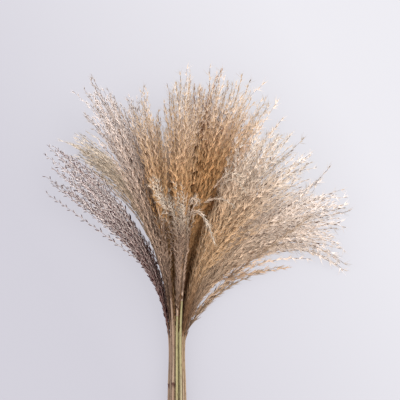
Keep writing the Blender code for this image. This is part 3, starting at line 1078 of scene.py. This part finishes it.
def smooth_line(points: np.ndarray, far: np.ndarray, steps: int) -> np.ndarray:
    """Reads a line of a few points as a smooth one.

    Args:
        points: The line's points.
        far: How far along the line each of them is.
        steps: How many steps the smooth line has.

    Returns:
        The smooth line's points.
    """
    slope = np.gradient(points, far, axis=0)
    at = np.linspace(0.0, far[-1], steps + 1)
    low = np.clip(np.searchsorted(far, at, side="right") - 1, 0, len(far) - 2)
    span = (far[low + 1] - far[low])[:, None]
    t = (at - far[low])[:, None] / span
    start, end = points[low], points[low + 1]
    return (
        start * (2 * t**3 - 3 * t**2 + 1) + slope[low] * span * (t**3 - 2 * t**2 + t)
        + end * (3 * t**2 - 2 * t**3) + slope[low + 1] * span * (t**3 - t**2)
    )


@dataclass(frozen=True)
class Marking:
    """A noise that is stretched over a map, and the values of it between which a colour comes up."""

    scale: tuple[float, float, float]
    detail: float
    first: float
    last: float
    strength: float = 1.0


class Nodes:
    """A shader node group, and the kinds of nodes that the finishes build one from."""

    def __init__(self, name: str) -> None:
        """Starts an empty group of a name."""
        self.tree = bpy.data.node_groups.new(name, "ShaderNodeTree")

    def sockets(self, way: str, kind: str, *names: str) -> None:
        """Gives the group some inputs (INPUT) or outputs (OUTPUT) of one kind, by their names."""
        for name in names:
            self.tree.interface.new_socket(name, in_out=way, socket_type=f"NodeSocket{kind}")

    def ends(self) -> tuple[Any, Any]:
        """Gives the sockets of the group's inputs and of its outputs, as they are inside it."""
        inside, outside = self.tree.nodes.new("NodeGroupInput"), self.tree.nodes.new("NodeGroupOutput")
        return inside.outputs, outside.inputs

    def read_map(self) -> tuple[Any, Any, Any]:
        """Reads the pieces' map.

        Returns:
            The sockets of the place on the map, of how far it is across the map, and how far up.
        """
        place = self.tree.nodes.new("ShaderNodeUVMap")
        place.uv_map = COLOUR_MAP
        split = self.tree.nodes.new("ShaderNodeSeparateXYZ")
        self.feed(split.inputs[0], place.outputs["UV"])
        return place.outputs["UV"], split.outputs["X"], split.outputs["Y"]

    def feed(self, socket: Any, value: Any) -> None:
        """Feeds a socket from another one, or sets it to a plain value.

        Args:
            socket: The input socket.
            value: An output socket, a number or a colour.
        """
        if isinstance(value, bpy.types.NodeSocket):
            self.tree.links.new(value, socket)
        else:
            socket.default_value = value

    def mix(self, low: Any, high: Any, factor: Any, blend: str = "MIX") -> Any:
        """Mixes two colours.

        Args:
            low: The first colour.
            high: The second colour.
            factor: How much of the second one shows, from 0 to 1.
            blend: How they are mixed.

        Returns:
            The mixed colour's socket.
        """
        node = self.tree.nodes.new("ShaderNodeMix")
        node.data_type, node.blend_type = "RGBA", blend
        for socket, value in zip((node.inputs[0], node.inputs[6], node.inputs[7]), (factor, low, high)):
            self.feed(socket, value)
        return node.outputs[2]

    def sum(self, operation: str, first: Any, second: Any) -> Any:
        """Does one sum with two numbers.

        Args:
            operation: Which sum, by its name in the Math node.
            first: The first number.
            second: The second number.

        Returns:
            The result's socket.
        """
        node = self.tree.nodes.new("ShaderNodeMath")
        node.operation = operation
        self.feed(node.inputs[0], first)
        self.feed(node.inputs[1], second)
        return node.outputs[0]

    def above(self, source: Any, level: float) -> Any:
        """Gives 1 where the source is above a level, and 0 elsewhere."""
        return self.sum("GREATER_THAN", source, level)

    def both(self, first: Any, second: Any) -> Any:
        """Gives the product of two masks."""
        return self.sum("MULTIPLY", first, second)

    def ramp(self, source: Any, low: Any, high: Any, first: float, last: float, smooth: bool = False) -> Any:
        """Gives a number that runs from one value to another as the source does.

        Args:
            source: The number it follows.
            low: The source's value where the ramp starts.
            high: The source's value where it ends.
            first: The ramp's value at its start.
            last: The ramp's value at its end.
            smooth: Whether it eases in and out.

        Returns:
            The number's socket.
        """
        node = self.tree.nodes.new("ShaderNodeMapRange")
        if smooth:
            node.interpolation_type = "SMOOTHSTEP"
        values = {"Value": source, "From Min": low, "From Max": high, "To Min": first, "To Max": last}
        for name, value in values.items():
            self.feed(node.inputs[name], value)
        return node.outputs[0]

    def marking(self, place: Any, marking: Marking) -> tuple[Any, Any]:
        """Gives a marking's noise and where it shows.

        Args:
            place: The map's socket.
            marking: The marking.

        Returns:
            The sockets of its noise and of its mask.
        """
        stretch = self.tree.nodes.new("ShaderNodeMapping")
        noise = self.tree.nodes.new("ShaderNodeTexNoise")
        self.feed(stretch.inputs["Vector"], place)
        self.feed(stretch.inputs["Scale"], marking.scale)
        self.feed(noise.inputs["Vector"], stretch.outputs[0])
        self.feed(noise.inputs["Scale"], 1.0)
        self.feed(noise.inputs["Detail"], marking.detail)
        value = noise.outputs["Fac"]
        return value, self.ramp(value, marking.first, marking.last, 0.0, marking.strength)

    def grey(self, value: Any) -> Any:
        """Gives a number as a grey colour."""
        node = self.tree.nodes.new("ShaderNodeCombineColor")
        for k in range(3):
            self.feed(node.inputs[k], value)
        return node.outputs[0]

    def bump(self, height: Any, distance: float) -> Any:
        """Gives the normals of a surface that stands proud by a mask, up to a distance in metres."""
        node = self.tree.nodes.new("ShaderNodeBump")
        self.feed(node.inputs["Distance"], distance)
        self.feed(node.inputs["Height"], height)
        return node.outputs[0]


class Finish:
    """A finish that comes in some tones: one material for each, all from one shared node group."""

    group: bpy.types.NodeTree
    feeds: dict[str, str]  # what each of the group's outputs feeds in the shader
    shine: float

    def wear(self, name: str, colours: tuple[Colour, ...]) -> tuple[bpy.types.Material, Any, Any]:
        """Makes a material that wears the group.

        Args:
            name: The material's name.
            colours: The colours that the group's first inputs are set to.

        Returns:
            The material, its shader and its group node.
        """
        made = bpy.data.materials.new(name)
        made.use_nodes = True
        nodes, links = made.node_tree.nodes, made.node_tree.links
        shader = nodes["Principled BSDF"]
        shader.inputs["Specular IOR Level"].default_value = self.shine
        worn = nodes.new("ShaderNodeGroup")
        worn.node_tree = self.group
        for socket, colour in zip(worn.inputs, colours):
            socket.default_value = (*colour, 1.0)
        for source, target in self.feeds.items():
            links.new(worn.outputs[source], shader.inputs[target])
        return made, shader, worn


class StemFinish(Finish):
    """The finish of the stems: a dry skin with fine ribs, streaks and blotches along the stem."""

    feeds: dict[str, str] = {"Color": "Base Color", "Roughness": "Roughness", "Normal": "Normal"}
    ribs: Marking = Marking((16.0, 1.6, 1.0), 3.0, 0.49, 0.60, 0.85)
    blotches: Marking = Marking((3.0, 26.0, 1.0), 4.0, 0.55, 0.72, 0.7)
    specks: Marking = Marking((24.0, 300.0, 1.0), 2.0, 0.62, 0.70, 0.8)
    rib_height: float = 0.00006  # in metres
    rib_range: tuple[float, float] = (0.3, 0.7)  # of the ribs' noise, over which the roughness changes
    roughness: tuple[float, float] = (0.42, 0.68)
    pith: tuple[float, ...] = (0.50, 0.40, 0.26, 1.0)
    pith_edge: float = 0.0145  # the height on the map below which the pith shows
    sheath_end: tuple[float, float] = (0.52, 0.60)  # the heights between which the sheath's colour fades
    joint_below: tuple[float, float] = (0.285, 0.296)  # where the joint's dark ring comes up
    joint_above: tuple[float, float] = (0.301, 0.31)  # and where it fades
    shine: float = 0.4

    def __init__(self, form: StemForm) -> None:
        """Makes the group that every tone shares.

        Args:
            form: The stems' form, which says where the joint is on the map.
        """
        self.knot_place = form.knot_place
        self.group = self.make_group()

    def make_group(self) -> bpy.types.NodeTree:
        """Builds the node group that colours a stem by its map.

        Returns:
            The group, with the colours as its inputs and Color, Roughness and Normal as outputs.
        """
        kit = Nodes("dry_stem")
        kit.sockets("INPUT", "Color", "Skin", "Streak", "Blotch", "Sheath")
        kit.sockets("OUTPUT", "Color", "Color")
        kit.sockets("OUTPUT", "Float", "Roughness")
        kit.sockets("OUTPUT", "Vector", "Normal")
        given, result = kit.ends()
        place, _, height = kit.read_map()
        ribs, streaks = kit.marking(place, self.ribs)
        sheath = kit.both(kit.above(height, self.knot_place), kit.ramp(height, *self.sheath_end, 1.0, 0.0))
        colour = kit.mix(given["Skin"], given["Sheath"], sheath)
        colour = kit.mix(colour, given["Streak"], streaks)
        colour = kit.mix(colour, given["Blotch"], kit.marking(place, self.blotches)[1])
        colour = kit.mix(colour, given["Streak"], kit.marking(place, self.specks)[1])
        joint = kit.both(
            kit.ramp(height, *self.joint_below, 0.0, 1.0), kit.ramp(height, *self.joint_above, 1.0, 0.0))
        colour = kit.mix(colour, given["Blotch"], joint)
        colour = kit.mix(self.pith, colour, kit.above(height, self.pith_edge))
        kit.feed(result["Color"], colour)
        kit.feed(result["Roughness"], kit.ramp(ribs, *self.rib_range, *self.roughness))
        kit.feed(result["Normal"], kit.bump(ribs, self.rib_height))
        return kit.tree

    def material(self, tone: StemTone) -> bpy.types.Material:
        """Makes the material of one tone."""
        colours = STEM_COLOURS[tone]
        return self.wear(tone.value, (colours.skin, colours.streak, colours.blotch, colours.sheath))[0]


class PlumeFinish(Finish):
    """The dry, silky finish of the plumes.

    Only the silk near the tips glows: painted light, which stands in for light from behind the thin silk.
    """

    feeds: dict[str, str] = {"Color": "Base Color", "Roughness": "Roughness", "Painted_glow_colour": "Emission Color"}
    dashes: Marking = Marking((22.0, 60.0, 1.0), 1.0, 0.46, 0.56)  # along the branches
    grain: Marking = Marking((300.0, 1300.0, 1.0), 3.0, 0.3, 0.7)
    grain_shades: tuple[float, float] = (0.78, 1.14)
    roughness: tuple[float, float] = (0.62, 0.85)
    seeds_above: float = 0.2  # on the map, between the bands of the branches and the seeds
    silk_above: float = 0.6
    seed_blur: float = 0.08  # between the dark seeds and the pale ones
    foot_fade: tuple[float, float] = (0.12, 0.5)  # how far up the plume the silk leaves its foot's colour, which is partly painted shade
    silk_shades: tuple[float, float] = (0.5, 1.2)  # of the darkest and the palest silk
    shine: float = 0.12

    def __init__(self) -> None:
        """Makes the group that every tone shares."""
        self.group = self.make_group()

    def make_group(self) -> bpy.types.NodeTree:
        """Builds the node group that colours a plume by its map.

        Returns:
            The group, with the colours as its inputs and Color, Painted_glow_colour and Roughness as its
            outputs.
        """
        kit = Nodes("dry_plume")
        kit.sockets("INPUT", "Color", "Seed", "Husk", "Branch", "Silk foot", "Silk middle", "Silk tip")
        kit.sockets("INPUT", "Float", "Pale from", "Pale to", "Dark seeds")
        kit.sockets("OUTPUT", "Color", "Color", "Painted_glow_colour")
        kit.sockets("OUTPUT", "Float", "Roughness")
        given, result = kit.ends()
        place, run, band = kit.read_map()
        pale = kit.ramp(run, given["Pale from"], given["Pale to"], 0.0, 1.0, smooth=True)
        ripe = kit.sum("SUBTRACT", kit.ramp(band, *Part.SEED.value, 0.0, 1.0), given["Dark seeds"])
        dry = kit.ramp(ripe, -self.seed_blur, self.seed_blur, 0.0, 1.0)
        seed = kit.mix(given["Seed"], given["Husk"], dry)
        rise = kit.ramp(run, *self.foot_fade, 0.0, 1.0, smooth=True)
        silk = kit.mix(given["Silk foot"], given["Silk middle"], rise)
        silk = kit.mix(silk, given["Silk tip"], pale)
        silk = kit.mix(silk, kit.grey(kit.ramp(band, *Part.SILK.value, *self.silk_shades)), 1.0, "MULTIPLY")
        branch = kit.mix(given["Branch"], given["Husk"], kit.marking(place, self.dashes)[1])
        is_silk = kit.above(band, self.silk_above)
        colour = kit.mix(branch, seed, kit.above(band, self.seeds_above))
        colour = kit.mix(colour, silk, is_silk)
        grain = kit.marking(place, self.grain)[1]
        shades = kit.grey(kit.ramp(grain, 0.0, 1.0, *self.grain_shades))
        colour = kit.mix(colour, shades, 1.0, "MULTIPLY")
        kit.feed(result["Color"], colour)
        # painted light: the pale silk glows in its own colour, as if lit from behind
        kit.feed(result["Painted_glow_colour"], kit.mix((0.0, 0.0, 0.0, 1.0), colour, kit.both(pale, is_silk)))
        kit.feed(result["Roughness"], kit.ramp(grain, 0.0, 1.0, *self.roughness))
        return kit.tree

    def material(self, tone: Tone) -> bpy.types.Material:
        """Makes the material of one tone.

        Args:
            tone: Which tone it is.

        Returns:
            The material.
        """
        colours = PLUME_COLOURS[tone]
        silks = (colours.silk_foot, colours.silk_middle, colours.silk_tip)
        made, shader, worn = self.wear(tone.value, (colours.seed, colours.husk, colours.branch, *silks))
        worn.inputs["Pale from"].default_value = colours.pale_from
        worn.inputs["Pale to"].default_value = colours.pale_to
        worn.inputs["Dark seeds"].default_value = colours.dark_seeds
        # the strength of the silk's painted glow
        shader.inputs["Emission Strength"].default_value = colours.painted_glow
        return made


@dataclass(frozen=True)
class Lamp:
    """A square area light that faces the bunch, in metres and watts."""

    name: str
    place: Place
    size: float
    power: float
    colour: Colour


@dataclass(frozen=True)
class Studio:
    """The floor, the light and the camera."""

    focus: Place = (6.2, 87.8, 45.0)  # what the middle of the picture shows
    frame_width: float = 428.0  # of the picture, at the height of the focus
    camera_distance: float = 2000.0
    sensor: float = 36.0
    floor_size: float = 12000.0
    far_clip: float = 50.0  # in metres
    # dark, so that the floor's paleness comes mostly from its painted light
    floor_tone: Colour = (0.12, 0.119, 0.126)
    floor_roughness: float = 0.9
    floor_shine: float = 0.1
    left_painted_light: Colour = (0.75, 0.73, 0.82)  # of the floor's painted light, which is paler towards the key lamp on the right
    right_painted_light: Colour = (1.05, 1.04, 1.10)
    painted_light_lean: float = 0.6  # how much the painted light also grows paler towards the top
    # the strength of the floor's painted light
    glow: float = 0.62
    sky: Colour = (0.95, 0.94, 0.95)
    sky_strength: float = 1.0
    lamps: tuple[Lamp, ...] = (
        Lamp("key", (1.2, 0.6, 1.6), 1.4, 29.0, (1.0, 0.98, 0.95)),
        Lamp("fill", (-1.2, -0.2, 1.6), 1.8, 17.0, (0.98, 0.97, 1.0)),
    )

    def floor(self) -> None:
        """Lays the pale floor under the bunch. It glows with painted light, paler towards the right and the
        top, which keeps the bunch's shadow on it faint.
        """
        deselect()
        bpy.ops.mesh.primitive_plane_add(size=self.floor_size * MM)
        floor = bpy.context.object
        floor.name = "floor"
        finish = bpy.data.materials.new("pale_floor")
        finish.use_nodes = True
        nodes, links = finish.node_tree.nodes, finish.node_tree.links
        shader = nodes["Principled BSDF"]
        shader.inputs["Base Color"].default_value = (*self.floor_tone, 1.0)
        place = nodes.new("ShaderNodeTexCoord")
        split = nodes.new("ShaderNodeSeparateXYZ")
        lean = nodes.new("ShaderNodeMath")
        lean.operation = "MULTIPLY_ADD"
        across = nodes.new("ShaderNodeMapRange")
        blend = nodes.new("ShaderNodeMix")
        blend.data_type = "RGBA"
        links.new(place.outputs["Object"], split.inputs[0])
        links.new(split.outputs["Y"], lean.inputs[0])
        lean.inputs[1].default_value = self.painted_light_lean
        links.new(split.outputs["X"], lean.inputs[2])
        links.new(lean.outputs[0], across.inputs["Value"])
        middle = self.focus[0] + self.painted_light_lean * self.focus[1]
        across.inputs["From Min"].default_value = (middle - self.frame_width / 2) * MM
        across.inputs["From Max"].default_value = (middle + self.frame_width / 2) * MM
        links.new(across.outputs[0], blend.inputs[0])
        blend.inputs[6].default_value = (*self.left_painted_light, 1.0)
        blend.inputs[7].default_value = (*self.right_painted_light, 1.0)
        # painted light: the floor glows, paler towards the key lamp and the top
        links.new(blend.outputs[2], shader.inputs["Emission Color"])
        shader.inputs["Emission Strength"].default_value = self.glow
        shader.inputs["Roughness"].default_value = self.floor_roughness
        shader.inputs["Specular IOR Level"].default_value = self.floor_shine
        floor.data.materials.append(finish)

    def light(self) -> None:
        """Hangs the soft lights, and fills the rest from all round."""
        world = bpy.data.worlds.new("studio")
        bpy.context.scene.world = world
        world.use_nodes = True
        sky = world.node_tree.nodes["Background"]
        sky.inputs["Color"].default_value = (*self.sky, 1.0)
        sky.inputs["Strength"].default_value = self.sky_strength
        for lamp in self.lamps:
            self.hang(lamp)

    def hang(self, lamp: Lamp) -> None:
        """Hangs a light and turns it to the bunch.

        Args:
            lamp: The light.
        """
        light = bpy.data.lights.new(lamp.name, "AREA")
        light.size = lamp.size
        light.energy = lamp.power
        light.color = lamp.colour
        obj = bpy.data.objects.new(lamp.name, light)
        bpy.context.scene.collection.objects.link(obj)
        obj.location = lamp.place
        aim = Vector(self.focus) * MM - obj.location
        obj.rotation_euler = aim.to_track_quat("-Z", "Y").to_euler()

    def camera(self) -> None:
        """Sets the camera straight above the bunch, with the plume tips at the picture's top."""
        camera = bpy.data.cameras.new("camera")
        camera.sensor_width = self.sensor
        camera.lens = self.sensor * self.camera_distance / self.frame_width
        camera.clip_end = self.far_clip
        obj = bpy.data.objects.new("camera", camera)
        bpy.context.scene.collection.objects.link(obj)
        x, y, z = self.focus
        obj.location = Vector((x, y, z + self.camera_distance)) * MM
        bpy.context.scene.camera = obj

    def set_up(self) -> None:
        """Sets up the whole studio."""
        bpy.context.scene.view_settings.view_transform = "Standard"
        bpy.context.scene.cycles.denoising_prefilter = "NONE"
        self.camera()
        self.floor()
        self.light()


def main() -> None:
    """Builds the bunch round its solids, and logs each plume's racemes and triangles and each stem's length.
    """
    logging.basicConfig(level=logging.INFO, format="%(name)s: %(message)s")
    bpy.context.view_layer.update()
    Studio().set_up()
    form = StemForm()
    stem_finish = StemFinish(form)
    plume_finish = PlumeFinish()
    stem_materials = {tone: stem_finish.material(tone) for tone in StemTone}
    plume_materials = {tone: plume_finish.material(tone) for tone in Tone}
    straight = form.model()
    for number, reed in enumerate(REEDS, 1):
        Stem(number, reed, form).build(straight, stem_materials[reed.stem])
    bpy.data.objects.remove(straight)
    for number, reed in enumerate(REEDS, 1):
        habit = HABITS[number]
        Plume(number, reed, habit, Spikelet(habit)).build(plume_materials[reed.tone])


if __name__ == "__main__":
    main()
